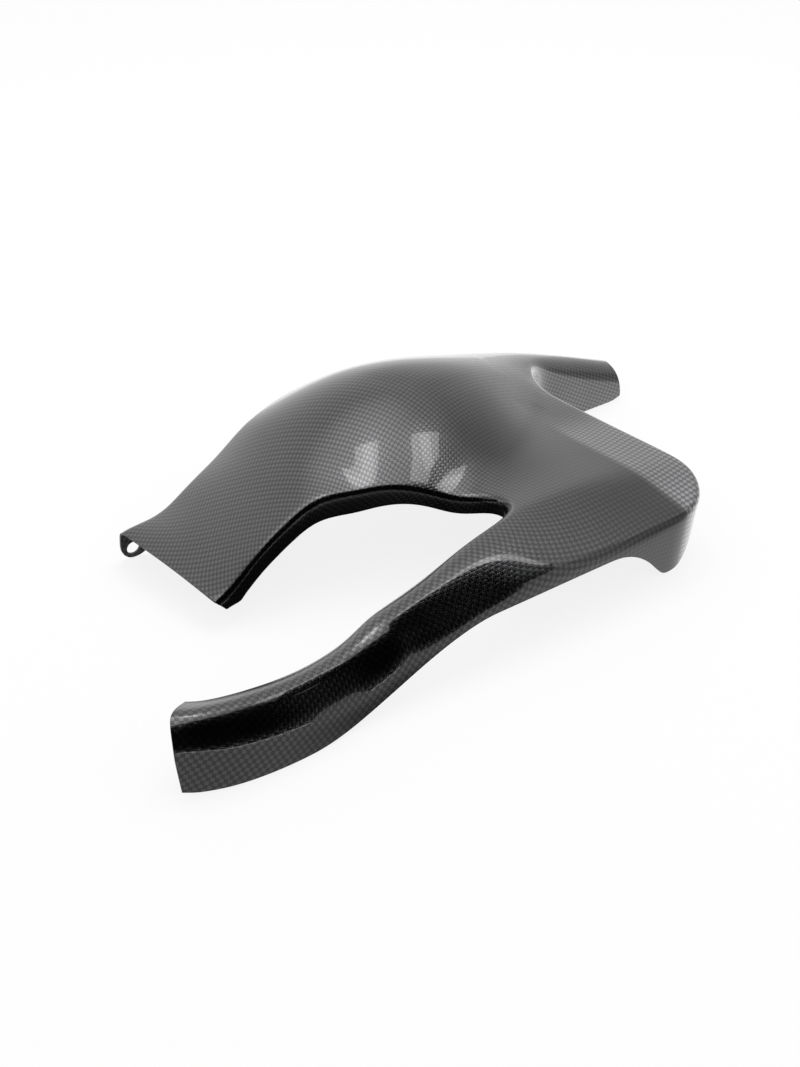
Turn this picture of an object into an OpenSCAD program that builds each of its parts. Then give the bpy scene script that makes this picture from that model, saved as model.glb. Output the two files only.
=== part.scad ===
// Rear fender for a motorcycle: tyre cover, chain guard and hose finger,
// moulded in one piece from woven carbon.
// +X points to the front of the bike, +Y to its left, +Z up.
// The shell is worked out over the line of the tyre, with x = 0 under the top
// of the dome, and is then moved so that the origin is under its middle.

/* [Tyre cover] */
// Length of the cover from the top of the dome to the front edge of the tongue
tongue_len = 223; // [212:1:232]
// Half width of the tongue, on both sides of the tyre line
tongue_half_w = 69; // [62:1:76]
// Height of the dome above the resting plane
dome_z = 129; // [122:1:136]
// Height of the tongue's front edge at its middle
tongue_tip_z = 27.5; // [24:0.5:31]
// Rise of the tongue's left side over its middle, halfway up the slope
tongue_tilt = 8.5; // [5:0.5:11]
// Rise of the front edge's right end over its middle
tip_tilt = 4; // [2:0.5:5]
// Lift of the tongue's front lip
tongue_flare = 9; // [6:1:12]
// Radius of the dome's section across the tyre
dome_section_r = 100; // [92:1:112]

/* [Hose finger] */
// Length from the top of the dome back to the end of the finger
finger_len = 315; // [300:1:330]
// Width of the finger
finger_w = 50; // [46:1:54]
// Distance of the finger's middle inside the tongue's right side
finger_in = 16; // [12:1:20]
// Height of the finger's crown at its end
finger_tip_z = 29; // [25:1:33]
// Width of the finger's curved left flank, seen from above
finger_flank_w = 19; // [14:1:22]
// Radius of the roll along the finger's right side
finger_roll_r = 15; // [10:1:18]

/* [Chain guard] */
// Distance from the tyre line to the guard's outer wall
guard_off = 239; // [230:1:246]
// Length from the top of the dome to the front tip of the guard arm
arm_len = 372; // [355:1:390]
// Outward bow of the arm past the straight wall
arm_bow = 12; // [6:1:16]
// Inward turn of the arm's tip from the straight wall
arm_turn = 8; // [4:1:14]
// Length of the arm's bowed part
bow_len = 277; // [260:1:290]
// Width of the arm between its inner and outer faces
arm_w = 43; // [38:1:46]
// Setback of the lower corner at the arm's cut end
arm_setback = 5; // [0:1:12]
// Setback of the inner corner at the arm's cut end
tip_corner = 32; // [20:1:42]
// Height of the arm's ridge
arm_z = 53; // [49:1:58]
// Height of the guard beside the front notch
root_z = 79; // [74:1:84]
// Height of the tail plate
tail_z = 65; // [60:1:69]
// Length from the top of the dome back to the tail's rear edge
tail_len = 177; // [168:1:182]
// Radius of the tail's corner, seen from above
tail_corner_r = 62; // [54:1:66]

/* [Edges] */
// Thickness of the laminate
wall = 2; // [1.6:0.1:2.4]
// Radius of the rolled edge
roll_r = 7; // [6:0.5:8.5]
// Width of the roll along the guard's outer edge, seen from above
edge_w = 5.2; // [4.5:0.1:6.5]
// Width of the arm's curved outer flank, seen from above
flank_w = 16; // [13:0.5:18]
// Depth of the return flange under the rolled edge
flange_d = 14; // [10:1:18]
// Height of the skirt's lower edge along the guard's body
skirt_low_z = 40; // [36:1:43]
// Depth of the rear edge under the tail plate
rear_lip = 15; // [12:1:20]

/* [Fixing lug] */
// Diameter of the lug's bolt hole
lug_hole_d = 11.7; // [10:0.1:12]
// Radius of the lug around its hole
lug_r = 9.5; // [9:0.5:11]
// Distance of the hole behind the tongue's front edge
lug_back = 11.5; // [10:0.5:14]
// Slope of the lug's flange, 90 where it hangs straight down
lug_lean = 84; // [78:1:92]

/* [Hidden] */

// Rows and columns of the shell's grid
lug_rows = 8;
tongue_rows = 25;
middle_rows = 21;
finger_rows = 15;
arm_rows = 34;
cover_cols = 12;
saddle_cols = 11;
guard_cols = 5;
roll_steps = 4;
curve_steps = 10;

// Places of the outline's corners
tongue_x = tongue_len;
finger_x = -finger_len;
arm_x = arm_len;
tail_x = -tail_len;
finger_y = finger_in - tongue_half_w;
finger_near_y = finger_y + finger_w / 2;
finger_far_y = finger_y - finger_w / 2;
guard_y = guard_off;
// Radius of the notch between the finger and the tail
notch_r = 45;
// Where the tongue's left side bends away towards the guard
bend_x = 125;
// Distance from the tongue's left side to the bottom of the front notch
crotch_in = 82;
// Softness of the valley between the cover and the guard
saddle_k = 24;

function clamp01(t) = min(1, max(0, t));
function ease(t) = let(u = clamp01(t)) u * u * (3 - 2 * u);
function mix(a, b, t) = t == 0 ? a : t == 1 ? b : a + (b - a) * t;

// Smooth curve through a list of values or points, with t from 0 to its last index
function held(c, i) =
    i < 0 ? 2 * c[0] - c[1] :
    i >= len(c) ? 2 * c[len(c) - 1] - c[len(c) - 2] : c[i];
function curve(c, t) =
    let(i = max(0, min(floor(t), len(c) - 2)), f = t - i)
    ((1 - f) ^ 3 * held(c, i - 1)
     + (3 * f ^ 3 - 6 * f ^ 2 + 4) * held(c, i)
     + (-3 * f ^ 3 + 3 * f ^ 2 + 3 * f + 1) * held(c, i + 1)
     + f ^ 3 * held(c, i + 2)) / 6;
function curve_pts(c) =
    [for (i = [0 : (len(c) - 1) * curve_steps]) curve(c, i / curve_steps)];
// Value at x of a curve whose values stand at equal pitch from x0
function along(c, x, x0, pitch) = curve(c, max(0, min(len(c) - 1, (x - x0) / pitch)));

// Arc in the plan
function arc_pts(cx, cy, r, a0, a1) =
    [for (i = [0 : curve_steps * 2])
        let(a = mix(a0, a1, i / (curve_steps * 2))) [cx + r * cos(a), cy + r * sin(a)]];

// Heights of the shell's outer face
// Hyperbola that leaves the top level and tends to a straight fall
function fall(x, soft) = sqrt(x * x + soft * soft) - soft;
front_soft = dome_z * 0.83;
rear_soft = dome_z * 0.56;
front_fall = (dome_z + tongue_flare - tongue_tip_z) / fall(tongue_x, front_soft);
rear_fall = (dome_z - finger_tip_z) / fall(finger_x, rear_soft);
flare_len = 50;
function crown(x) =
    x > 0 ? dome_z - front_fall * fall(x, front_soft)
            + tongue_flare * clamp01((x - tongue_x) / flare_len + 1) ^ 2
          : dome_z - rear_fall * fall(x, rear_soft);
// The cover's section: its radius and its ridge's place, at equal steps from the finger's end
profile_x0 = finger_x;
profile_pitch = finger_len / 4;
section_r = [for (k = [0.23, 0.24, 0.36, 0.85, 1, 1.25, 2.4, 14]) k * dome_section_r];
ridge_off = [for (k = [1, 1, 0.7, 0.13, 0, 0, 0, 0]) k * finger_y];
// The tongue twists: its left side rises from tilt_x on, and its right side at the tip
tilt_x = 85;
tilt_len = 50;
function cover_z(x, y) =
    let(v = y - along(ridge_off, x, profile_x0, profile_pitch))
    crown(x) - v * v / (2 * along(section_r, x, profile_x0, profile_pitch))
    + v / tongue_half_w * (tongue_tilt * ease((x - tilt_x) / tilt_len)
                             * ease((tongue_x - x) / tilt_len)
                           - tip_tilt * ease((x - tongue_x) / tilt_len + 1));

// The guard: a ridge with its own slope on each side
guard_x0 = -0.645 * arm_x;
guard_pitch = 0.1613 * arm_x;
ridge_z = [tail_z, tail_z, tail_z + 1, mix(tail_z, root_z, 0.5), root_z - 3, root_z - 4,
           mix(arm_z, root_z, 0.43), arm_z - 2, arm_z - 10, arm_z - 4, arm_z];
ridge_in = [for (k = [1.43, 1.43, 1.43, 1.43, 1.38, 1.1, 0.83, 0.64, 0.52, 0.48, 0.43]) k * arm_w];
outer_slope = [0.06, 0.08, 0.22, 0.38, 0.45, 0.55, 0.85, 1.2, 1.35, 1.35, 1.35];
inner_slope = [0, 0, 0, 0, 0.1, 0.6, 1, 0.9, 0.6, 0.5, 0.5];
ridge_soft = 10;
// The plate falls away to the right of this line, under the dome and the finger
plate_y = -5;
plate_fall = 2;
plate_soft = 14;
function guard_z(x, y) =
    let(d = y - wall_y(x) + along(ridge_in, x, guard_x0, guard_pitch),
        mo = along(outer_slope, x, guard_x0, guard_pitch),
        mi = along(inner_slope, x, guard_x0, guard_pitch))
    along(ridge_z, x, guard_x0, guard_pitch)
    - plate_fall * (sqrt((plate_y - y) ^ 2 + plate_soft ^ 2) + plate_y - y) / 2
    - (mo + mi) / 2 * (sqrt(d * d + ridge_soft * ridge_soft) - ridge_soft)
    - (mo - mi) / 2 * d;

// Outer face: the higher of cover and guard, blended
function top_z(x, y) =
    let(a = cover_z(x, y), b = guard_z(x, y))
    (a + b + sqrt((a - b) * (a - b) + saddle_k * saddle_k)) / 2;
probe = 0.5;
function slope_x(x, y) = (top_z(x + probe, y) - top_z(x - probe, y)) / (2 * probe);
function slope_y(x, y) = (top_z(x, y + probe) - top_z(x, y - probe)) / (2 * probe);

// Plan of the outer wall, from the arm's tip back to the straight part
wall_turn = [for (k = [[0, -arm_turn], [0.08, 0.2 * arm_bow], [0.18, 0.8 * arm_bow],
                       [0.31, 1.05 * arm_bow], [0.45, 0.88 * arm_bow], [0.61, 0.5 * arm_bow],
                       [0.8, 0.16 * arm_bow], [1, 0]])
             [arm_x - k[0] * bow_len, guard_y + k[1]]];
wall_curve = curve_pts(wall_turn);
wall_end_x = arm_x - bow_len;
wall_lookup = [for (p = wall_curve) [-p[0], p[1]]];
function wall_y(x) = x < wall_end_x ? guard_y : lookup(-x, wall_lookup);

// Outlines of the outermost faces, each from the front or the arm's tip to the rear
// The cover widens by this much from the tongue's front to the finger
cover_spread = finger_far_y + tongue_half_w;
far_run = curve_pts(concat(
    [for (k = [[1, 0], [0.86, -0.5], [0.68, -0.2], [0.36, 0.35], [0.05, 0.6]])
        [k[0] * tongue_x, k[1] * cover_spread - tongue_half_w]],
    [for (k = [[0.19, 0.7], [0.41, 0.85], [0.63, 1], [0.82, 1], [1, 1]])
        [k[0] * finger_x, k[1] * cover_spread - tongue_half_w]]));
// The tongue's left side, the bottom of the front notch, and the arm's inner side
near_run = curve_pts(concat(
    [for (k = [tongue_x, mix(tongue_x, bend_x, 0.38), mix(tongue_x, bend_x, 0.72)])
        [k, tongue_half_w]],
    [for (k = [[1, 0.01], [0.77, 0.13], [0.51, 0.3], [0.3, 0.5], [0.14, 0.7], [0, 0.89],
               [0, 1.1], [0.08, 1.24], [0.26, 1.33], [0.6, 1.4], [0.88, 1.48], [1.2, 1.55]])
        [k[0] * bend_x, tongue_half_w + k[1] * crotch_in]],
    [for (k = [[0.64, 0.96], [0.48, 0.92], [0.33, 0.97], [0.21, 1], [0.13, 1], [0.07, 1]])
        let(x = arm_x - k[0] * bow_len) [x, wall_y(x) - k[1] * arm_w]]));
saddle_first = 6 * curve_steps;
saddle_last = 11 * curve_steps;
body_x = 0.26 * bend_x;
corner_x = tail_x + tail_corner_r;
corner_y = guard_y - tail_corner_r;
notch_y = finger_near_y + notch_r;
tail_straight = 14;
outer_run = [for (p = wall_curve) if (p[0] > body_x) p];
body_run = concat([[body_x, guard_y]], arc_pts(corner_x, corner_y, tail_corner_r, 90, 135));
rear_guard_run = concat(
    arc_pts(corner_x, corner_y, tail_corner_r, 135, 180),
    [[tail_x, corner_y - tail_straight]]);
rear_saddle_run = concat(
    [[tail_x, corner_y - tail_straight]],
    arc_pts(tail_x - notch_r, notch_y, notch_r, 0, -45));
finger_near_run = concat(
    arc_pts(tail_x - notch_r, notch_y, notch_r, -45, -90),
    [[finger_x, finger_near_y]]);

// Running length of a run, and its points at given fractions of that length
function run_sum(p, i = 0, s = 0, out = []) =
    i >= len(p) ? out :
    let(n = i == 0 ? 0 : s + norm(p[i] - p[i - 1])) run_sum(p, i + 1, n, concat(out, [n]));
function at_len(p, s, d, lo, hi) =
    hi - lo <= 1 ? mix(p[lo], p[hi], s[hi] == s[lo] ? 0 : clamp01((d - s[lo]) / (s[hi] - s[lo]))) :
    let(m = floor((lo + hi) / 2)) d < s[m] ? at_len(p, s, d, lo, m) : at_len(p, s, d, m, hi);
function spread(p, fractions) =
    let(s = run_sum(p), t = s[len(s) - 1])
    [for (f = fractions) at_len(p, s, f * t, 0, len(p) - 1)];
function even(n) = [for (i = [0 : n]) i / n];
function part_of(p, a, b) = [for (i = [a : b]) p[i]];
function but_first(p) = [for (i = [1 : len(p) - 1]) p[i]];
function turned(p) = [for (i = [len(p) - 1 : -1 : 0]) p[i]];

// Rows stand closer at the lug
lug_pitch = 4;
lug_share = lug_rows * lug_pitch / (tongue_x - body_x);
tongue_fractions = [for (i = [0 : tongue_rows])
    i <= lug_rows ? i / lug_rows * lug_share
                  : mix(lug_share, 1, (i - lug_rows) / (tongue_rows - lug_rows))];

function first_below(p, x, i = 0) = i >= len(p) || p[i][0] <= x ? i : first_below(p, x, i + 1);
far_a = first_below(far_run, body_x);
far_b = first_below(far_run, tail_x - notch_r * 0.29);
far_edge = concat(
    spread(part_of(far_run, 0, far_a), tongue_fractions),
    but_first(spread(part_of(far_run, far_a, far_b), even(middle_rows))),
    but_first(spread(part_of(far_run, far_b, len(far_run) - 1), even(finger_rows))));
front_edge = concat(
    spread(part_of(near_run, 0, saddle_first), tongue_fractions),
    but_first(spread(part_of(near_run, saddle_first, saddle_last), even(saddle_cols))),
    but_first(spread(part_of(near_run, saddle_last, len(near_run) - 1), even(arm_rows))));
rear_edge = concat(
    spread(concat(outer_run, [[body_x, guard_y]]), even(arm_rows)),
    but_first(spread(body_run, even(middle_rows))),
    but_first(spread(rear_guard_run, even(guard_cols))),
    but_first(spread(rear_saddle_run, even(saddle_cols))),
    but_first(spread(finger_near_run, even(finger_rows))));

// Outward side of an outline in the plan: side is 1 to its right, -1 to its left
function outward(p, i, side) =
    let(d = p[min(i + 1, len(p) - 1)] - p[max(i - 1, 0)]) side * [d[1], -d[0]] / norm(d);

// Lower edge of each run
lug_x = tongue_x - lug_back;
lug_bore_len = 16;
lug_y = lookup(lug_x, far_run);
lug_turn = atan((lookup(lug_x + lug_r, far_run) - lug_y) / lug_r);
// The lug's foot is longer behind the hole than before it
foot_ratio = 1.5;
function lug_low(x) =
    let(t = (lug_x - x) / lug_r, u = t < 0 ? -t : t / foot_ratio)
    u > 1 && t < 0 ? lug_r :
    u < 0.7 ? lug_r * (1 - sqrt(1 - u * u)) : lug_r * (0.286 + (u - 0.7) * 0.98);
finger_drop_len = 50;
finger_end_trim = 3;
function finger_low(z, x) =
    mix(z, 0, ease((tail_x - roll_r - x) / finger_drop_len))
    + (x < finger_x + 1 ? finger_end_trim : 0);
function far_low(p, z) = finger_low(min(z - flange_d, lug_low(p[0])), p[0]);
function front_low(p, z) =
    z - mix(1.5 * wall, flange_d, ease((tongue_x - p[0]) / front_taper))
    * mix(1, 0.68, ease((p[1] - tongue_half_w - roll_r) / flange_taper));
front_taper = 30;
flange_taper = 35;
// The skirt stands on its tooth and on the arm, and arches up between them
tooth_x = corner_x + 5;
tooth_arch = 64;
skirt_rise_x = 0.72 * arm_x;
skirt_rise_len = 190;
rear_low_z = tail_z - rear_lip;
rear_rise_len = 65;
function arch(t) = 1 - (1 - clamp01(t)) ^ 2;
function corner_turn(p) = atan2(corner_x - p[0], p[1] - corner_y);
function rear_low(p, z) =
    p[0] > arm_x - 1 ? wall :
    p[0] > tooth_x ? skirt_low_z * ease((skirt_rise_x - p[0]) / skirt_rise_len)
                     * arch((p[0] - tooth_x - roll_r / 2) / tooth_arch) :
    p[1] > corner_y ?
        rear_low_z * ease((tail_corner_r * corner_turn(p) * PI / 180 - roll_r) / rear_rise_len) :
    finger_low(rear_low_z, p[0]);

// Roll of each run: [radius or 0, final lean, width where the radius is 0]
blend_len = 90;
function flank_share(p) = p[1] > guard_y / 2 ? ease((p[0] - 0.16 * arm_x) / (1.2 * blend_len)) : 0;
function finger_share(p) = ease((tail_x - p[0]) / blend_len);
function far_roll(p) = [mix(roll_r, finger_roll_r, finger_share(p)),
                        mix(93, lug_lean, ease((p[0] - lug_x) / blend_len * 2 + 1))];
function front_roll(p) = [roll_r, 90];
function rear_roll(p) =
    [0, mix(p[1] > corner_y ? 99 : 91, 88, ease((p[0] + blend_len) / (2 * blend_len))),
     p[1] < notch_y ? mix(edge_w, finger_flank_w, finger_share(p))
                    : mix(edge_w, flank_w, flank_share(p))];

// Slope of the outer face along a direction in the plan, as an angle
function start_angle(q, n) = max(-8, atan(-(slope_x(q[0], q[1]) * n[0] + slope_y(q[0], q[1]) * n[1])));
// Width of a roll in the plan: given, or worked out from its radius
function roll_w(q, n, roll) =
    roll[0] > 0 ? roll[0] * (sin(roll[1]) - sin(start_angle(q, n))) : roll[2];
// Where the roll starts, so that it ends at the outline
function inset(p, n, roll) =
    let(q = p - n * roll_w(p - n * roll_r * 0.6, n, roll)) p - n * roll_w(q, n, roll);
// Points are rounded to a micrometre, so that neighbouring sheets share them exactly
function snap(v) = [for (c = v) round(c * 1000) / 1000];
function lift(q) = [q[0], q[1], top_z(q[0], q[1])];
function top_normal(q) =
    let(n = [-slope_x(q[0], q[1]), -slope_y(q[0], q[1]), 1]) n / norm(n);

// One column of a rolled edge: [point, outward direction] down to the lower edge
function edge_column(p, n, roll, low, sweep = 0) =
    let(q = inset(p, n, roll), a = start_angle(q, n), b = roll[1], z = top_z(q[0], q[1]),
        r = roll_w(q, n, roll) / (sin(b) - sin(a)), full = r * (cos(a) - cos(b)),
        squash = min(1, (z - low - 2) / full))
    concat(
        [for (k = [0 : roll_steps])
            let(t = mix(a, b, k / roll_steps), c = q + n * r * (sin(t) - sin(a)),
                d = squash * r * (cos(a) - cos(t)))
            [[c[0] - sweep * d, c[1], z - d], [n[0] * sin(t), n[1] * sin(t), cos(t)]]],
        [let(d = z - low, c = q + n * (r * (sin(b) - sin(a)) + (d - full * squash) * cos(b) / sin(b)))
            [[c[0] - sweep * d, c[1], low], [n[0] * sin(b), n[1] * sin(b), cos(b)]]]);

// A sheet is a grid of [outer point, inner point]
function pair(p, n) = [snap(p), snap(p - wall * n)];
function top_pair(q) = let(s = snap([q[0], q[1]])) pair(lift(s), top_normal(s));
function edge_sheet(columns) =
    [for (i = [0 : len(columns) - 1])
        [for (k = [0 : len(columns[i]) - 1])
            k == 0 ? top_pair(columns[i][0][0]) :
            let(p = columns[i][k][0], m = columns[i][k][1],
                d = columns[min(i + 1, len(columns) - 1)][k][0] - columns[max(i - 1, 0)][k][0],
                u = d / norm(d), n = m - (m * u) * u)
            pair(p, n / norm(n))]];

// Height near the outline, just under the roll
function under_roll(p, n) = let(q = p - n * roll_r * 0.5) top_z(q[0], q[1]) - roll_r * 0.9;
far_columns = [for (i = [0 : len(far_edge) - 1])
    let(p = far_edge[i], n = outward(far_edge, i, -1))
    edge_column(p, n, far_roll(p), far_low(p, under_roll(p, n)))];
front_columns = [for (i = [0 : len(front_edge) - 1])
    let(p = front_edge[i], n = outward(front_edge, i, 1))
    edge_column(p, n, front_roll(p), front_low(p, under_roll(p, n)),
                p[1] < guard_y / 2 ? ease((p[0] - tongue_x) / front_taper + 1) : 0)];
rear_columns = [for (i = [0 : len(rear_edge) - 1])
    let(p = rear_edge[i], n = outward(rear_edge, i, 1))
    edge_column(p, n, rear_roll(p), rear_low(p, 0))];

// Plan points where the edges start
function starts(columns) = [for (c = columns) [c[0][0][0], c[0][0][1]]];
far_start = starts(far_columns);
front_start = starts(front_columns);
rear_start = starts(rear_columns);

k1 = tongue_rows;
k2 = tongue_rows + saddle_cols;
s1 = arm_rows;
t1 = s1 + middle_rows;
q1 = t1 + guard_cols;
r1 = q1 + saddle_cols;
function line(a, b, n) = [for (i = [0 : n]) mix(a, b, i / n)];
left_seam = line(front_start[k1], rear_start[r1], middle_rows);
right_seam = line(front_start[k2], rear_start[q1], middle_rows);

function ruled(a, b, n) = [for (i = [0 : len(a) - 1]) [for (j = [0 : n]) top_pair(mix(a[i], b[i], j / n))]];
// Patch between four outlines: rows run from front to rear, columns from left to right
function patch(front, rear, left, right) =
    let(nr = len(left) - 1, nc = len(front) - 1)
    [for (i = [0 : nr]) [for (j = [0 : nc])
        let(u = j / nc, v = i / nr)
        top_pair(i == 0 ? front[j] : i == nr ? rear[j] : j == 0 ? left[i] : j == nc ? right[i] :
            mix(front[j], rear[j], v) + mix(left[i], right[i], u)
            - mix(mix(front[0], front[nc], u), mix(rear[0], rear[nc], u), v))]];

cover_right = concat(part_of(front_start, 0, k1), but_first(left_seam),
                     but_first(part_of(rear_start, r1, len(rear_start) - 1)));
cover_sheet = ruled(far_start, cover_right, cover_cols);
saddle_sheet = patch(part_of(front_start, k1, k2), turned(part_of(rear_start, q1, r1)),
                     left_seam, right_seam);
body_sheet = patch(line(front_start[k2], rear_start[s1], guard_cols),
                   turned(part_of(rear_start, t1, q1)), right_seam, part_of(rear_start, s1, t1));
arm_sheet = ruled(part_of(front_start, k2, len(front_start) - 1),
                  turned(part_of(rear_start, 0, s1)), guard_cols);
far_sheet = edge_sheet(far_columns);
front_sheet = edge_sheet(front_columns);
rear_sheet = edge_sheet(rear_columns);

// Points of a sheet in one list, and its faces on one side
// The arm's cut end is set back at its foot and at its inner corner
tip_in_y = guard_y - arm_turn - arm_w;
foot_z = 0.75 * arm_z;
foot_len = 50;
tip_corner_w = 0.76 * arm_w;
tip_corner_len = 130;
function raked(p) =
    snap([p[0] - ease((p[0] - arm_x) / foot_len + 1) * arm_setback
                 * clamp01(1 - p[2] / foot_z) ^ 2
               - ease((p[0] - arm_x) / tip_corner_len + 1) * tip_corner
                 * clamp01((tip_in_y - p[1]) / tip_corner_w + 1) ^ 2,
          p[1], max(0, p[2])]);
function sheet_points(s, side) = [for (row = s) for (v = row) raked(v[side])];
function sheet_faces(s, base, flip) =
    let(w = len(s[0]))
    [for (i = [0 : len(s) - 2]) for (j = [0 : w - 2])
        let(a = base + i * w + j, b = a + 1, c = a + w + 1, d = a + w)
        for (f = [[a, b, c], [a, c, d]]) flip ? [f[2], f[1], f[0]] : f];
// Strip that joins the outer and the inner side along one border
function border_points(line) = concat([for (v = line) raked(v[0])], [for (v = line) raked(v[1])]);
function border_faces(line, base, flip) =
    let(n = len(line))
    [for (i = [0 : n - 2])
        let(a = base + i, b = a + 1, c = b + n, d = a + n)
        for (f = [[a, b, c], [a, c, d]]) flip ? [f[2], f[1], f[0]] : f];

function last_col(s) = [for (row = s) row[len(row) - 1]];
sheets = [[cover_sheet, true], [saddle_sheet, true], [body_sheet, true], [arm_sheet, false],
          [far_sheet, false], [front_sheet, true], [rear_sheet, true]];
tongue_front = concat(turned(far_sheet[0]), but_first(cover_sheet[0]), but_first(front_sheet[0]));
finger_end = concat(turned(far_sheet[len(far_sheet) - 1]), but_first(cover_sheet[len(cover_sheet) - 1]),
                    but_first(rear_sheet[len(rear_sheet) - 1]));
arm_end = concat(turned(front_sheet[len(front_sheet) - 1]), but_first(arm_sheet[len(arm_sheet) - 1]),
                 but_first(rear_sheet[0]));
borders = [[last_col(far_sheet), true], [last_col(front_sheet), false],
           [last_col(rear_sheet), false],
           [tongue_front, false], [finger_end, true], [arm_end, false]];

// All points and faces of the shell
blocks = concat(
    [for (s = sheets) for (side = [0, 1])
        [sheet_points(s[0], side), sheet_faces(s[0], 0, side == 0 ? s[1] : !s[1])]],
    [for (b = borders) [border_points(b[0]), border_faces(b[0], 0, b[1])]]);
function bases(i = 0, s = 0, out = []) =
    i >= len(blocks) ? out : bases(i + 1, s + len(blocks[i][0]), concat(out, [s]));
block_base = bases();
shell_points = [for (b = blocks) for (p = b[0]) p];
shell_faces = [for (i = [0 : len(blocks) - 1]) for (f = blocks[i][1]) f + block_base[i] * [1, 1, 1]];

function halfway(v) = (min(v) + max(v)) / 2;
middle = [halfway([for (p = shell_points) p[0]]), halfway([for (p = shell_points) p[1]]), 0];

module fender_shell() {
    color([0.09, 0.09, 0.1])
    translate(-middle)
    difference() {
        polyhedron(points = shell_points, faces = shell_faces, convexity = 8);
        translate([lug_x, lug_y, lug_r])
            rotate([lug_lean, 0, lug_turn])
            cylinder(d = lug_hole_d, h = lug_bore_len, center = true, $fn = 48);
    }
}

fender_shell();
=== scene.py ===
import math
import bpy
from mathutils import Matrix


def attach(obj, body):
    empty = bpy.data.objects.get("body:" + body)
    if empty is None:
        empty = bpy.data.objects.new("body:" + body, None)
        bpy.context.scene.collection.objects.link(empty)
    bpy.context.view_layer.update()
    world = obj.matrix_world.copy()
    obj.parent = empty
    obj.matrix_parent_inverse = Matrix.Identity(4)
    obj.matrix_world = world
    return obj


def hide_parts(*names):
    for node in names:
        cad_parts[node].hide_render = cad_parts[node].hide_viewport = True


bl_info = {
    "name": "Carbon rear fender",
    "version": (1, 0, 0),
    "blender": (4, 5, 0),
    "location": "View3D > Sidebar > Fender",
    "description": "Dresses the packed rear fender in glossy woven carbon on a pale studio floor",
    "category": "Object",
}

import bmesh
import bpy
from bpy.props import FloatProperty, FloatVectorProperty, IntProperty, PointerProperty
from mathutils import Vector

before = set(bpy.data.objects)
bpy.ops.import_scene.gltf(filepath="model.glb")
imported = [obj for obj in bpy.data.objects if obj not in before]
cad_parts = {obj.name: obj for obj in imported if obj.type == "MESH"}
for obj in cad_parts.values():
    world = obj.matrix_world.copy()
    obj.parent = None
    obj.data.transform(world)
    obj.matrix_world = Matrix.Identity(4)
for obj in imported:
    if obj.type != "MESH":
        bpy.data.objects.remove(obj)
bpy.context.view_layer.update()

NODE = "fender_shell"
MM = 0.001

# Names of the three surfaces of the laminate, in the order of their material slots
OUTER = 0
INNER = 1
CUT = 2


class Wire:
    """A socket of a node tree. Python's operators on it add the nodes of shader maths."""

    def __init__(self, tree, socket):
        self.tree = tree
        self.socket = socket

    def math(self, operation, *others):
        return Shader(self.tree).node("ShaderNodeMath", {"operation": operation}, self, *others)

    def __add__(self, other):
        return self.math("ADD", other)

    def __radd__(self, other):
        return self.math("ADD", other)

    def __sub__(self, other):
        return self.math("SUBTRACT", other)

    def __rsub__(self, other):
        return Shader(self.tree).node("ShaderNodeMath", {"operation": "SUBTRACT"}, other, self)

    def __mul__(self, other):
        return self.math("MULTIPLY", other)

    def __rmul__(self, other):
        return self.math("MULTIPLY", other)

    def __pow__(self, other):
        return self.math("POWER", other)


class Shader:
    """Adds nodes to one node tree."""

    def __init__(self, tree):
        self.tree = tree

    def node(self, kind, settings=None, *inputs, out=0, **named):
        """Adds a node, sets its settings, fills its inputs and returns one output as a Wire."""
        made = self.tree.nodes.new(kind)
        for key, value in (settings or {}).items():
            setattr(made, key, value)
        pairs = list(enumerate(inputs)) + [(k.replace("_", " "), v) for k, v in named.items()]
        for key, value in pairs:
            if value is None:
                continue
            if isinstance(value, Wire):
                self.tree.links.new(value.socket, made.inputs[key])
            else:
                made.inputs[key].default_value = value
        return Wire(self.tree, made.outputs[out]) if made.outputs else None

    def parts(self, vector):
        """The three components of a vector."""
        made = self.node("ShaderNodeSeparateXYZ", None, vector).socket.node
        return [Wire(self.tree, s) for s in made.outputs]

    def vector(self, x, y, z=0.0):
        return self.node("ShaderNodeCombineXYZ", None, x, y, z)

    def mix(self, factor, a, b):
        """Mix of two numbers, colours or vectors, by their kind."""
        many = any(isinstance(v, (tuple, list)) for v in (a, b))
        kind = "RGBA" if many else "FLOAT"
        slots = {"FLOAT": (2, 3, 0), "RGBA": (6, 7, 2)}[kind]
        made = self.tree.nodes.new("ShaderNodeMix")
        made.data_type = kind
        for key, value in ((0, factor), (slots[0], a), (slots[1], b)):
            if isinstance(value, Wire):
                self.tree.links.new(value.socket, made.inputs[key])
            else:
                made.inputs[key].default_value = value
        return Wire(self.tree, made.outputs[slots[2]])

    def between(self, value, low, high):
        """0 below low, 1 above high, and a smooth step between them."""
        return self.node(
            "ShaderNodeMapRange",
            {"interpolation_type": "SMOOTHSTEP"},
            value, low, high, 0.0, 1.0,
        )

    def dot(self, a, b):
        return self.node("ShaderNodeVectorMath", {"operation": "DOT_PRODUCT"}, a, b, out=1)

    def distance(self, a, b):
        return self.node("ShaderNodeVectorMath", {"operation": "DISTANCE"}, a, b, out=1)

    def scaled(self, colour, tone):
        return self.node("ShaderNodeVectorMath", {"operation": "SCALE"}, colour, Scale=tone)

    def noise(self, where, scale, detail=2.0, roughness=0.5):
        """Noise around 0, between -0.5 and 0.5."""
        return self.node(
            "ShaderNodeTexNoise", {"noise_dimensions": "3D"},
            Vector=where, Scale=scale, Detail=detail, Roughness=roughness,
        ) - 0.5


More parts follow.
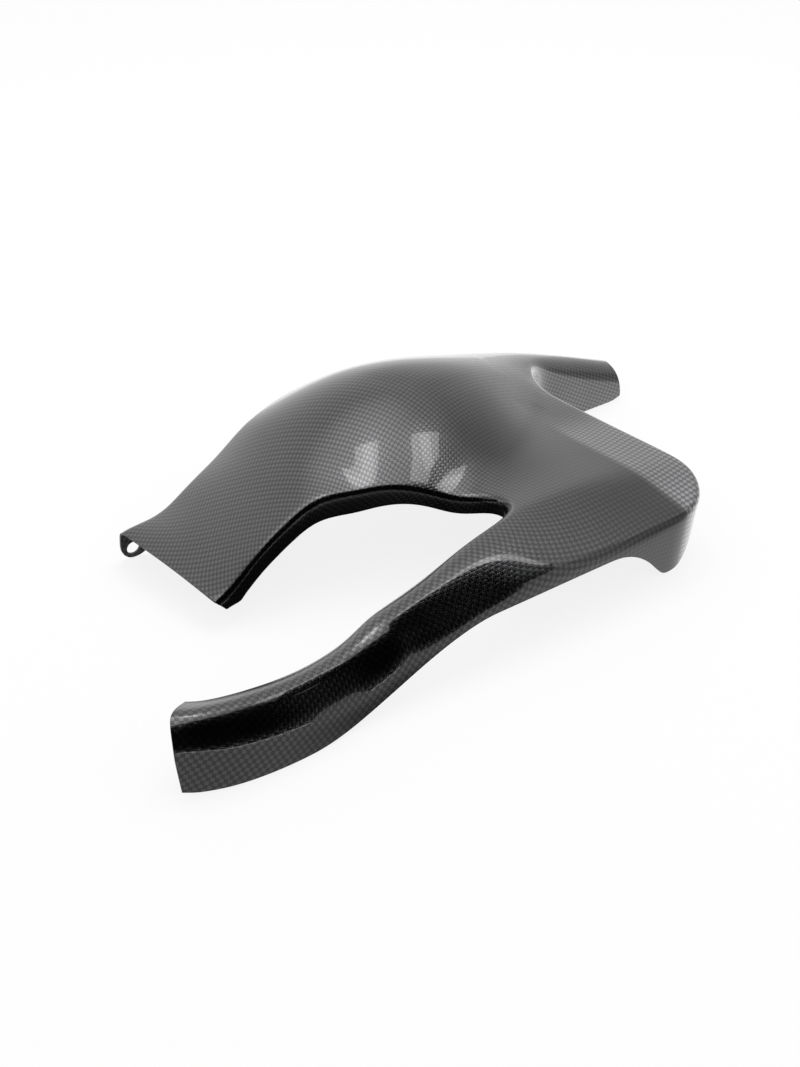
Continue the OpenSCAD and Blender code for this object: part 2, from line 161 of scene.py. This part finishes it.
class FenderShellSettings(bpy.types.PropertyGroup):
    """Sizes of the smooth shell and of its cloth."""

    sharp_angle: FloatProperty(
        name="Sharp edge",
        description="Angle from which an edge of the shell stays sharp",
        default=math.radians(50), subtype="ANGLE",
    )
    smooth_levels: IntProperty(
        name="Smoothing", description="Levels of subdivision", default=2, min=1, max=2
    )
    tow_width: FloatProperty(
        name="Tow width",
        description="Width of one flat bundle of carbon fibres",
        default=3.3 * MM, unit="LENGTH",
    )
    cloth_turn: FloatProperty(
        name="Cloth turn",
        description="Angle of the tows to the fender's length",
        default=math.radians(45), subtype="ANGLE",
    )


class FenderFinishSettings(bpy.types.PropertyGroup):
    """Colours and gloss of the laminate."""

    # The warp and the weft are the same fibres; their two colours are a painted sheen, the warp
    # lit lighter and the weft shaded darker
    warp_lit_colour: FloatVectorProperty(
        name="Warp tows", description="Colour of the tows along the cloth",
        default=(0.100, 0.099, 0.102), subtype="COLOR", min=0, max=1,
    )
    weft_shaded_colour: FloatVectorProperty(
        name="Weft tows", description="Colour of the tows across the cloth",
        default=(0.040, 0.040, 0.042), subtype="COLOR", min=0, max=1,
    )
    gap_shade: FloatVectorProperty(
        name="Gaps", description="Colour of the resin between the tows",
        default=(0.012, 0.012, 0.013), subtype="COLOR", min=0, max=1,
    )
    cut_shade: FloatVectorProperty(
        name="Cut edge", description="Colour of the trimmed edge",
        default=(0.022, 0.022, 0.024), subtype="COLOR", min=0, max=1,
    )
    fibre_roughness: FloatProperty(
        name="Fibre roughness", description="Roughness of the fibres under the resin",
        default=0.22, min=0, max=1,
    )
    coat_roughness: FloatProperty(
        name="Coat roughness", description="Roughness of the clear gloss resin",
        default=0.025, min=0, max=1,
    )
    relief: FloatProperty(
        name="Relief", description="Height of a tow's crown over its edges",
        default=0.12 * MM, unit="LENGTH",
    )


class FenderStageSettings(bpy.types.PropertyGroup):
    """The floor, the lamps and the camera."""

    photo_turn: FloatProperty(
        name="Camera turn",
        description="Camera's direction, turned from the left side to the front",
        default=math.radians(39.5), subtype="ANGLE",
    )
    photo_rise: FloatProperty(
        name="Camera rise", description="Camera's angle above the floor",
        default=math.radians(29.4), subtype="ANGLE",
    )
    photo_distance: FloatProperty(
        name="Camera distance", description="Distance from the camera to its aim",
        default=1.8, unit="LENGTH",
    )
    photo_lens: FloatProperty(
        name="Lens", description="Focal length on a picture 36 mm high",
        default=71.6, unit="CAMERA",
    )
    aim: FloatVectorProperty(
        name="Aim", description="Point on the floor in the middle of the picture",
        default=(-13.227 * MM, -44.583 * MM, 0.0), subtype="TRANSLATION",
    )
    floor_size: FloatProperty(
        name="Floor", description="Side of the floor", default=16.0, unit="LENGTH"
    )
    floor_shade: FloatVectorProperty(
        name="Floor colour", description="Colour of the floor",
        default=(0.93, 0.93, 0.93), subtype="COLOR", min=0, max=1,
    )
    shadow_fade: FloatProperty(
        name="Shadow fade", description="How far the floor's shadows fade into its white",
        default=0.84, min=0, max=1,
    )
    floor_gloss: FloatProperty(
        name="Near floor in the gloss", description="Light of the near floor that the gloss shows",
        default=0.55, min=0,
    )
    floor_gloss_far: FloatProperty(
        name="Far floor in the gloss", description="Light of the far floor that the gloss shows",
        default=1.5, min=0,
    )
    room_light: FloatProperty(
        name="Room light", description="Light of the pale room all round", default=0.8, min=0
    )
    wall_light: FloatProperty(
        name="Pale wall", description="Light of the pale wall that the gloss shows",
        default=0.95, min=0,
    )
    ceiling_light: FloatProperty(
        name="Ceiling", description="Light of the ceiling over the fender", default=1.8, min=0
    )
    skirting_light: FloatProperty(
        name="Skirting", description="Light of the dark wall's bright foot", default=3.0, min=0
    )
    pane_light: FloatProperty(
        name="Window", description="Light of a window pane", default=2.4, min=0
    )
    lamp_power: FloatProperty(
        name="Lamp", description="Power of the large soft lamp overhead",
        default=14.0, unit="POWER",
    )


def deselect_all():
    if bpy.context.mode != "OBJECT":
        bpy.ops.object.mode_set(mode="OBJECT")
    bpy.ops.object.select_all(action="DESELECT")


def take(piece):
    """Selects one object alone and makes it active."""
    deselect_all()
    piece.select_set(True)
    bpy.context.view_layer.objects.active = piece


def flood(start, sharp_angle):
    """Faces that join the start face over edges softer than the sharp angle."""
    found = {start}
    queue = [start]
    while queue:
        face = queue.pop()
        for edge in face.edges:
            if len(edge.link_faces) != 2 or edge.calc_face_angle(0.0) > sharp_angle:
                continue
            for other in edge.link_faces:
                if other not in found:
                    found.add(other)
                    queue.append(other)
    return found


def sort_surfaces(mesh, sharp_angle):
    """Gives each face its surface, and makes sharp edges creases and seams."""
    work = bmesh.new()
    work.from_mesh(mesh)
    work.faces.ensure_lookup_table()
    upward = max(work.faces, key=lambda f: f.calc_center_median().z * (f.normal.z > 0.9))
    downward = max(work.faces, key=lambda f: f.calc_center_median().z * (f.normal.z < -0.9))
    outer = flood(upward, sharp_angle)
    inner = flood(downward, sharp_angle)
    for face in work.faces:
        face.material_index = OUTER if face in outer else INNER if face in inner else CUT
        face.smooth = True
    crease = work.edges.layers.float.new("crease_edge")
    for edge in work.edges:
        kinds = {f.material_index for f in edge.link_faces}
        sharp = len(kinds) > 1 or edge.calc_face_angle(0.0) > sharp_angle
        edge[crease] = 1.0 if sharp else 0.0
        edge.smooth = not sharp
        edge.seam = sharp
    work.to_mesh(mesh)
    work.free()


def flat_area(corners):
    """Area of a flat polygon of complex numbers, positive where it turns left."""
    return sum(
        (a.conjugate() * b).imag for a, b in zip(corners, corners[1:] + corners[:1])
    ) / 2


# Where the cover starts across the fender, how softly the weave tightens there, and how much.
# These were set to follow the size of the weave in the photo.
COVER_EDGE = 0.04
COVER_BLEND = 0.03
COVER_SQUEEZE = 0.4


def squeezed(v):
    """Tightens the weave's map across the cover."""
    depth = max(0.0, COVER_EDGE - v)
    return v - COVER_SQUEEZE * depth * depth / (depth + COVER_BLEND)


def lay_cloth(mesh, surface, mirrored):
    """Turns and scales a surface's UV map to metres, with U along X and V along Y on top."""
    layer = mesh.uv_layers.active.data
    flip = -1 if mirrored else 1
    loops = []
    real_area = 0.0
    map_area = 0.0
    for face in mesh.polygons:
        if face.material_index == surface:
            loops.extend(face.loop_indices)
            real_area += face.area
            map_area += flat_area([complex(*layer[i].uv) for i in face.loop_indices])
    turned_over = map_area < 0
    pairs = []
    for i in loops:
        place = mesh.vertices[mesh.loops[i].vertex_index]
        weight = max(0.0, flip * place.normal.z) ** 4
        spot = complex(*layer[i].uv)
        spot = spot.conjugate() if turned_over else spot
        pairs.append((spot, complex(place.co.x, flip * place.co.y), weight))
    total = sum(w for _, _, w in pairs)
    mid_uv = sum(a * w for a, _, w in pairs) / total
    mid_xy = sum(b * w for _, b, w in pairs) / total
    turn = sum((a - mid_uv).conjugate() * (b - mid_xy) * w for a, b, w in pairs)
    turn *= math.sqrt(real_area / abs(map_area)) / abs(turn)
    for i, (spot, _, _) in zip(loops, pairs):
        laid = (spot - mid_uv) * turn + mid_xy
        layer[i].uv = (laid.real, flip * squeezed(laid.imag))


def unwrap(piece):
    """Lays the three surfaces out flat, each within its seams."""
    piece.data.uv_layers.new(name="cloth")
    take(piece)
    bpy.ops.object.mode_set(mode="EDIT")
    bpy.ops.mesh.select_all(action="SELECT")
    bpy.ops.uv.unwrap(method="MINIMUM_STRETCH", fill_holes=True, margin=0.001)
    bpy.ops.object.mode_set(mode="OBJECT")
    lay_cloth(piece.data, OUTER, False)
    lay_cloth(piece.data, INNER, True)
    lay_cloth(piece.data, CUT, False)


# Painted tones. The real cloth is taken as even, and these differences as reflections in the
# photo. They were tuned for the photo's view, are painted by place on the fender, inside too,
# and so stay the same from every side.
# Middle of the painted dark reflection in the hollow between the cover and the tail, its two radii
# and how much darker it is painted
HOLLOW = (-0.095, 0.005, 0.076)
HOLLOW_CORE = 0.02
HOLLOW_EDGE = 0.075
HOLLOW_DARK_REFLECTION = 0.55
# How much darker the painted reflection makes the plate before the tail, and how much paler the
# painted reflection makes the tail
PLATE_DARK_REFLECTION = 0.62
TAIL_PALE_REFLECTION = 3.2
# Way that the arm's upper roll faces, where a dark reflection is painted, and how much darker it
# is painted
ARM_ROLL = (-0.02, 0.70, 0.71)
ARM_ROLL_DARK_REFLECTION = 0.6

# The weave: sizes of its drift and of its uneven patches, fibre lines in one tow,
# and how far from a tow's middle the gap between two tows starts
DRIFT_SCALE = 14.0
PATCH_SCALE = 22.0
FIBRE_LINES = 16.0
FIBRE_SCALE = 1.6
GAP_START = 0.72


def painted_reflections(shader, place):
    """Factor on the cloth's colour that paints reflections by place on the fender: 1 where nothing
    is painted.
    """
    x, y, _ = shader.parts(place)
    # Masks of the painted reflections: pale on the tail, dark in the hollow, on the plate and on
    # the arm's upper roll
    tail = shader.between(x * -1.0, 0.150, 0.160) * shader.between(y, -0.03, 0.02)
    hollow = 1.0 - shader.between(shader.distance(place, HOLLOW), HOLLOW_CORE, HOLLOW_EDGE)
    plate = shader.between(x * -1.0, 0.02, 0.145) * shader.between(y, 0.0, 0.05)
    facing = shader.dot(shader.node("ShaderNodeNewGeometry", None, out=1), ARM_ROLL)
    roll = shader.between(facing, 0.93, 0.98) * shader.between(x, 0.09, 0.12)
    body = (1.0 - hollow * HOLLOW_DARK_REFLECTION) * (1.0 - plate * PLATE_DARK_REFLECTION) * (1.0 - tail)
    return (body + tail * TAIL_PALE_REFLECTION) * (1.0 - roll * ARM_ROLL_DARK_REFLECTION)


def weave(shader, shell, finish):
    """Plain weave: its colour with a painted sheen and painted reflections, its relief, and the
    noise of its fibres and its patches.
    """
    u, v, _ = shader.parts(
        shader.node("ShaderNodeUVMap", {"uv_map": "cloth"})
    )
    c = math.cos(shell.cloth_turn) / shell.tow_width
    s = math.sin(shell.cloth_turn) / shell.tow_width
    # Slow drift of the tows, as hand-laid cloth has
    place = shader.node("ShaderNodeTexCoord", None, out=3)
    drift = shader.noise(place, DRIFT_SCALE, 1.0) * 0.5
    a = u * c + v * s + drift
    b = v * c - u * s + drift
    in_a = a.math("FRACT") - 0.5
    in_b = b.math("FRACT") - 0.5
    warp = (a.math("FLOOR") + b.math("FLOOR")).math("FLOORED_MODULO", 2.0)
    across = shader.mix(warp, in_a, in_b)
    along = shader.mix(warp, in_b, in_a)
    side = (across * 2.0) ** 2.0
    end = (along * 2.0) ** 2.0
    height = 1.0 - side * side * 0.5 - end * 0.5
    lines = shader.vector(
        shader.mix(warp, a * FIBRE_LINES, a), shader.mix(warp, b, b * FIBRE_LINES)
    )
    fibres = shader.noise(lines, FIBRE_SCALE, 2.0, 0.6)
    patch = shader.noise(place, PATCH_SCALE, 2.0)
    # Painted sheen: the warp tows lit lighter and the weft tows shaded darker, though they are the
    # same fibres
    lit_tow_colour = (*finish.warp_lit_colour, 1.0)
    shaded_tow_colour = (*finish.weft_shaded_colour, 1.0)
    tow = shader.mix(warp, shaded_tow_colour, lit_tow_colour)
    gap = shader.between(side, GAP_START, 1.0)
    colour = shader.mix(gap * 0.8, tow, (*finish.gap_shade, 1.0))
    # The tone adds the painted reflections, by place on the fender, to the noise of the fibres and
    # the patches
    tone = (fibres * 0.5 + patch * 0.35 + 1.0) * painted_reflections(shader, place)
    return shader.scaled(colour, tone), height, fibres, patch


def new_material(name):
    made = bpy.data.materials.new(name)
    made.use_nodes = True
    made.node_tree.nodes.clear()
    return made, Shader(made.node_tree)


def gloss_carbon(shell, finish):
    """Woven carbon under clear gloss resin."""
    made, shader = new_material("gloss_carbon")
    colour, height, fibres, patch = weave(shader, shell, finish)
    bump = shader.node(
        "ShaderNodeBump", None, Strength=0.6, Distance=finish.relief, Height=height
    )
    face = shader.node(
        "ShaderNodeBsdfPrincipled", None,
        Base_Color=colour,
        Metallic=1.0,
        Roughness=fibres * 0.12 + patch * 0.1 + finish.fibre_roughness,
        Normal=bump,
        Coat_Weight=1.0,
        Coat_Roughness=finish.coat_roughness,
        Coat_IOR=1.5,
    )
    shader.node("ShaderNodeOutputMaterial", None, face)
    return made


def raw_carbon(shell, finish):
    """The inside of the laminate, as it comes from the mould: the same cloth, dull and uneven."""
    made, shader = new_material("raw_carbon")
    colour, height, fibres, patch = weave(shader, shell, finish)
    place = shader.node("ShaderNodeTexCoord", None, out=3)
    grain = shader.noise(place, 900.0, 2.0)
    bump = shader.node(
        "ShaderNodeBump", None, Strength=0.8, Distance=finish.relief, Height=height + grain * 0.5
    )
    face = shader.node(
        "ShaderNodeBsdfPrincipled", None,
        Base_Color=shader.scaled(colour, 0.6),
        Metallic=0.7,
        Roughness=fibres * 0.1 + patch * 0.3 + 0.55,
        Normal=bump,
        Coat_Weight=0.25,
        Coat_Roughness=0.35,
    )
    shader.node("ShaderNodeOutputMaterial", None, face)
    return made


def cut_laminate(finish):
    """The trimmed edge: matt and slightly grainy."""
    made, shader = new_material("cut_laminate")
    place = shader.node("ShaderNodeTexCoord", None, out=3)
    grain = shader.noise(place, 1400.0, 3.0)
    colour = shader.scaled(tuple(finish.cut_shade), grain * 0.6 + 1.0)
    bump = shader.node("ShaderNodeBump", None, Strength=0.3, Distance=0.1 * MM, Height=grain)
    face = shader.node(
        "ShaderNodeBsdfPrincipled", None,
        Base_Color=colour,
        Roughness=grain * 0.2 + 0.5,
        Normal=bump,
        Coat_Weight=0.4,
        Coat_Roughness=0.2,
    )
    shader.node("ShaderNodeOutputMaterial", None, face)
    return made


class FENDER_OT_shell(bpy.types.Operator):
    """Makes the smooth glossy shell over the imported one"""

    bl_idname = "fender.shell"
    bl_label = "Make the shell"

    def execute(self, context):
        shell = context.scene.fender_shell_settings
        finish = context.scene.fender_finish_settings
        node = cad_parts[NODE]
        mesh = node.data.copy()
        mesh.materials.clear()
        piece = bpy.data.objects.new("carbon_shell", mesh)
        context.scene.collection.objects.link(piece)
        take(piece)
        bpy.ops.object.mode_set(mode="EDIT")
        bpy.ops.mesh.select_all(action="SELECT")
        bpy.ops.mesh.remove_doubles(threshold=0.005 * MM)
        bpy.ops.mesh.tris_convert_to_quads(
            face_threshold=math.radians(40), shape_threshold=math.radians(60)
        )
        bpy.ops.object.mode_set(mode="OBJECT")
        sort_surfaces(mesh, shell.sharp_angle)
        unwrap(piece)
        for make in (gloss_carbon(shell, finish), raw_carbon(shell, finish), cut_laminate(finish)):
            mesh.materials.append(make)
        smooth = piece.modifiers.new("smooth", "SUBSURF")
        smooth.levels = shell.smooth_levels
        smooth.render_levels = shell.smooth_levels
        take(piece)
        bpy.ops.object.modifier_apply(modifier=smooth.name)
        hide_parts(NODE)
        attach(piece, "root")
        return {"FINISHED"}


# The gloss sees the floor pale behind the fender and grey before it, along this direction,
# and almost black round a spot under the front notch, a painted shadow, as the photo's reflections
# show it
FLOOR_AWAY = (-0.64, -0.77)
NOTCH_SHADOW = (0.10, 0.02, 0.0)
NOTCH_SHADOW_CORE = 0.12
NOTCH_SHADOW_EDGE = 0.24


def add_floor(stage):
    """The floor: the camera sees it nearly white, with the shadows faded, and matt else."""
    deselect_all()
    bpy.ops.mesh.primitive_plane_add(size=stage.floor_size, location=(0, 0, -0.5 * MM))
    floor = bpy.context.object
    floor.name = "floor"
    made, shader = new_material("pale_floor")
    path = shader.node("ShaderNodeLightPath", None).socket.node
    glossy = Wire(made.node_tree, path.outputs["Is Glossy Ray"])
    place = shader.node("ShaderNodeTexCoord", None, out=3)
    x, y, _ = shader.parts(place)
    far = shader.between(x * FLOOR_AWAY[0] + y * FLOOR_AWAY[1], -0.25, 0.30)
    # Painted shadow: the floor's glow in the gloss falls almost to black round the notch
    notch_shadow = shader.distance(place, NOTCH_SHADOW)
    gloss_light = shader.mix(far, stage.floor_gloss, stage.floor_gloss_far)
    gloss_light = gloss_light * (shader.between(notch_shadow, NOTCH_SHADOW_CORE, NOTCH_SHADOW_EDGE) * 0.97 + 0.03)
    shade = (*stage.floor_shade, 1.0)
    matt = shader.node("ShaderNodeBsdfPrincipled", None, Base_Color=shade, Roughness=0.6)
    glow = shader.node("ShaderNodeEmission", None, Color=shade, Strength=gloss_light)
    white = shader.node("ShaderNodeEmission", None, Strength=1.0)
    seen = Wire(made.node_tree, path.outputs["Is Camera Ray"])
    pale = shader.node("ShaderNodeMixShader", None, seen * stage.shadow_fade, matt, white)
    face = shader.node("ShaderNodeMixShader", None, glossy, pale, glow)
    shader.node("ShaderNodeOutputMaterial", None, face)
    floor.data.materials.append(made)


# Level directions of the room's dimmer side and of the wall behind the fender
DARK_SIDE = Vector((math.cos(math.radians(75)), math.sin(math.radians(75)), 0.0))
BACK_SIDE = Vector((-1.0, 0.0, 0.0))
# Direction of the pale wall's dimmer corner
DIM_CORNER = Vector((-0.694, -0.583, 0.423))
# How much light the wall behind, the dimmer corner and the dimmer side lose
BACK_LOSS = 0.3
CORNER_LOSS = 0.22
SIDE_LOSS = 0.35


def light_room(stage):
    """A pale room. The gloss sees its ceiling, its pale wall and its dimmer parts."""
    world = bpy.data.worlds.new("room")
    bpy.context.scene.world = world
    world.use_nodes = True
    world.node_tree.nodes.clear()
    shader = Shader(world.node_tree)
    towards = shader.node("ShaderNodeTexCoord", None, out=0)
    x, y, z = shader.parts(towards)
    level = shader.node("ShaderNodeVectorMath", {"operation": "NORMALIZE"}, shader.vector(x, y))

    up = shader.between(z, 0.80, 0.99)
    wall = shader.mix(up, stage.wall_light, stage.ceiling_light)
    back = shader.between(shader.dot(level, BACK_SIDE), 0.80, 0.97)
    back = back * (1.0 - shader.between(z, 0.6, 0.8))
    corner = shader.between(shader.dot(towards, DIM_CORNER), 0.93, 0.99)
    side = shader.between(shader.dot(level, DARK_SIDE), -0.05, 0.08)
    side = side * (1.0 - shader.between(z, 0.85, 0.89))
    for part, loss in ((back, BACK_LOSS), (corner, CORNER_LOSS), (side, SIDE_LOSS)):
        wall = wall * (1.0 - part * loss)
    path = shader.node("ShaderNodeLightPath", None).socket.node
    seen = Wire(world.node_tree, path.outputs["Is Camera Ray"])
    glossy = Wire(world.node_tree, path.outputs["Is Glossy Ray"])
    strength = shader.mix(glossy, stage.room_light, wall)
    strength = shader.mix(seen, strength, 1.0)
    light = shader.node("ShaderNodeBackground", None, (1.0, 1.0, 1.0, 1.0), strength)
    shader.node("ShaderNodeOutputWorld", None, light)


# Sheets that the gloss alone sees. Their corners were found by sending view rays back from
# the bright and the dark areas of the photo, and then moved by trial.
# Window panes, which add their light to what is behind them: name, height, corners, light
PANES = (
    ("pane_right", 1.0, ((0.038, -0.178), (-0.112, -0.045), (-0.060, 0.140), (0.055, 0.110),
                         (0.060, -0.080)), 1.0),
    ("pane_right_core", 0.995, ((-0.005, -0.128), (-0.068, -0.075), (-0.030, 0.150),
                                (0.040, 0.060)), 0.5),
    ("pane_left", 1.0, ((-0.420, 0.100), (-0.800, 0.150), (-0.640, 0.300), (-0.500, 0.350),
                        (-0.400, 0.400), (-0.300, 0.330)), 1.0),
    ("pane_left_core", 0.995, ((-0.500, 0.125), (-0.640, 0.150), (-0.540, 0.340),
                               (-0.440, 0.350)), 0.6),
)
CLEAR_SHEETS = {name for name, *_ in PANES}
# Black sheets: one keeps the panes off the arm, two are the dark room beside the camera
FLAG = ((-0.30, 0.15, 0.40), (-0.02, 0.15, 0.40), (-0.02, 0.36, 0.40), (-0.30, 0.36, 0.40))
DARK_WALL = ((-0.20, 0.75, 0.012), (-0.36, 0.75, 0.32), (-0.60, 0.75, 0.85), (-0.92, 0.75, 1.90),
             (4.00, 0.75, 1.90), (4.00, 0.75, 0.012))
DARK_FRONT = ((4.00, 0.75, 0.012), (4.00, 0.75, 1.90), (2.40, -1.20, 1.90), (2.40, -1.20, 0.012))
# The bright foot of the dark wall
SKIRTING = ((-0.20, 0.74, 0.0), (-0.20, 0.74, 0.014), (4.00, 0.74, 0.014), (4.00, 0.74, 0.0))


def hang_sheet(name, corners, light):
    """Hangs a flat sheet by the fender, where only its gloss sees it."""
    mesh = bpy.data.meshes.new(name)
    mesh.from_pydata(corners, [], [range(len(corners))])
    sheet = bpy.data.objects.new(name, mesh)
    bpy.context.scene.collection.objects.link(sheet)
    made, shader = new_material(name)
    glow = shader.node("ShaderNodeEmission", None, Strength=light)
    if name in CLEAR_SHEETS:
        clear = shader.node("ShaderNodeBsdfTransparent", None)
        glow = shader.node("ShaderNodeAddShader", None, glow, clear)
    shader.node("ShaderNodeOutputMaterial", None, glow)
    mesh.materials.append(made)
    sheet.visible_camera = False
    sheet.visible_diffuse = False
    sheet.visible_shadow = False
    sheet.visible_transmission = False


def add_sheets(stage):
    """Hangs the panes, the black sheets and the bright skirting."""
    for name, height, corners, light in PANES:
        hang_sheet(name, [(x, y, height) for x, y in corners], stage.pane_light * light)
    hang_sheet("black_flag", FLAG, 0.0)
    hang_sheet("dark_wall", DARK_WALL, 0.0)
    hang_sheet("dark_front", DARK_FRONT, 0.0)
    hang_sheet("skirting", SKIRTING, stage.skirting_light)


# Place and sides of the lamp
LAMP_PLACE = (-0.6, -0.5, 1.8)
LAMP_SIDES = (1.6, 1.2)


def add_lamp(stage):
    """One large soft lamp above and behind the fender."""
    deselect_all()
    bpy.ops.object.light_add(type="AREA", location=LAMP_PLACE)
    lamp = bpy.context.object
    lamp.name = "soft_lamp"
    lamp.data.shape = "RECTANGLE"
    lamp.data.size, lamp.data.size_y = LAMP_SIDES
    lamp.data.energy = stage.lamp_power
    lamp.visible_glossy = False
    lamp.rotation_euler = (-lamp.location).to_track_quat("-Z", "Y").to_euler()


def add_camera(stage):
    """The camera, at the direction and the distance taken for the photo's."""
    rise = stage.photo_rise
    turn = stage.photo_turn
    back = Vector((
        math.sin(turn) * math.cos(rise), math.cos(turn) * math.cos(rise), math.sin(rise)
    ))
    deselect_all()
    bpy.ops.object.camera_add(location=Vector(stage.aim) + back * stage.photo_distance)
    camera = bpy.context.object
    camera.name = "photo_camera"
    camera.rotation_euler = back.to_track_quat("Z", "Y").to_euler()
    camera.data.sensor_fit = "VERTICAL"
    camera.data.sensor_height = 36.0
    camera.data.lens = stage.photo_lens
    camera.data.clip_start = 0.05
    camera.data.clip_end = 100.0
    bpy.context.scene.camera = camera


class FENDER_OT_stage(bpy.types.Operator):
    """Adds the pale floor, the room's light, the lamp and the photo's camera"""

    bl_idname = "fender.stage"
    bl_label = "Set the stage"

    def execute(self, context):
        stage = context.scene.fender_stage_settings
        add_floor(stage)
        light_room(stage)
        add_sheets(stage)
        add_lamp(stage)
        add_camera(stage)
        context.scene.view_settings.view_transform = "Standard"
        return {"FINISHED"}


class FENDER_PT_panel(bpy.types.Panel):
    """Lists the steps that build the scene"""

    bl_label = "Carbon rear fender"
    bl_idname = "FENDER_PT_panel"
    bl_space_type = "VIEW_3D"
    bl_region_type = "UI"
    bl_category = "Fender"

    def draw(self, context):
        for step in STEPS:
            self.layout.operator(step.bl_idname)


SETTINGS = {
    "fender_shell_settings": FenderShellSettings,
    "fender_finish_settings": FenderFinishSettings,
    "fender_stage_settings": FenderStageSettings,
}
STEPS = (FENDER_OT_stage, FENDER_OT_shell)


def register():
    for name, group in SETTINGS.items():
        bpy.utils.register_class(group)
        setattr(bpy.types.Scene, name, PointerProperty(type=group))
    for step in STEPS:
        bpy.utils.register_class(step)
    bpy.utils.register_class(FENDER_PT_panel)


def unregister():
    bpy.utils.unregister_class(FENDER_PT_panel)
    for step in STEPS:
        bpy.utils.unregister_class(step)
    for name, group in SETTINGS.items():
        delattr(bpy.types.Scene, name)
        bpy.utils.unregister_class(group)


def main():
    register()
    bpy.ops.fender.stage()
    bpy.ops.fender.shell()


if __name__ == "__main__":
    main()
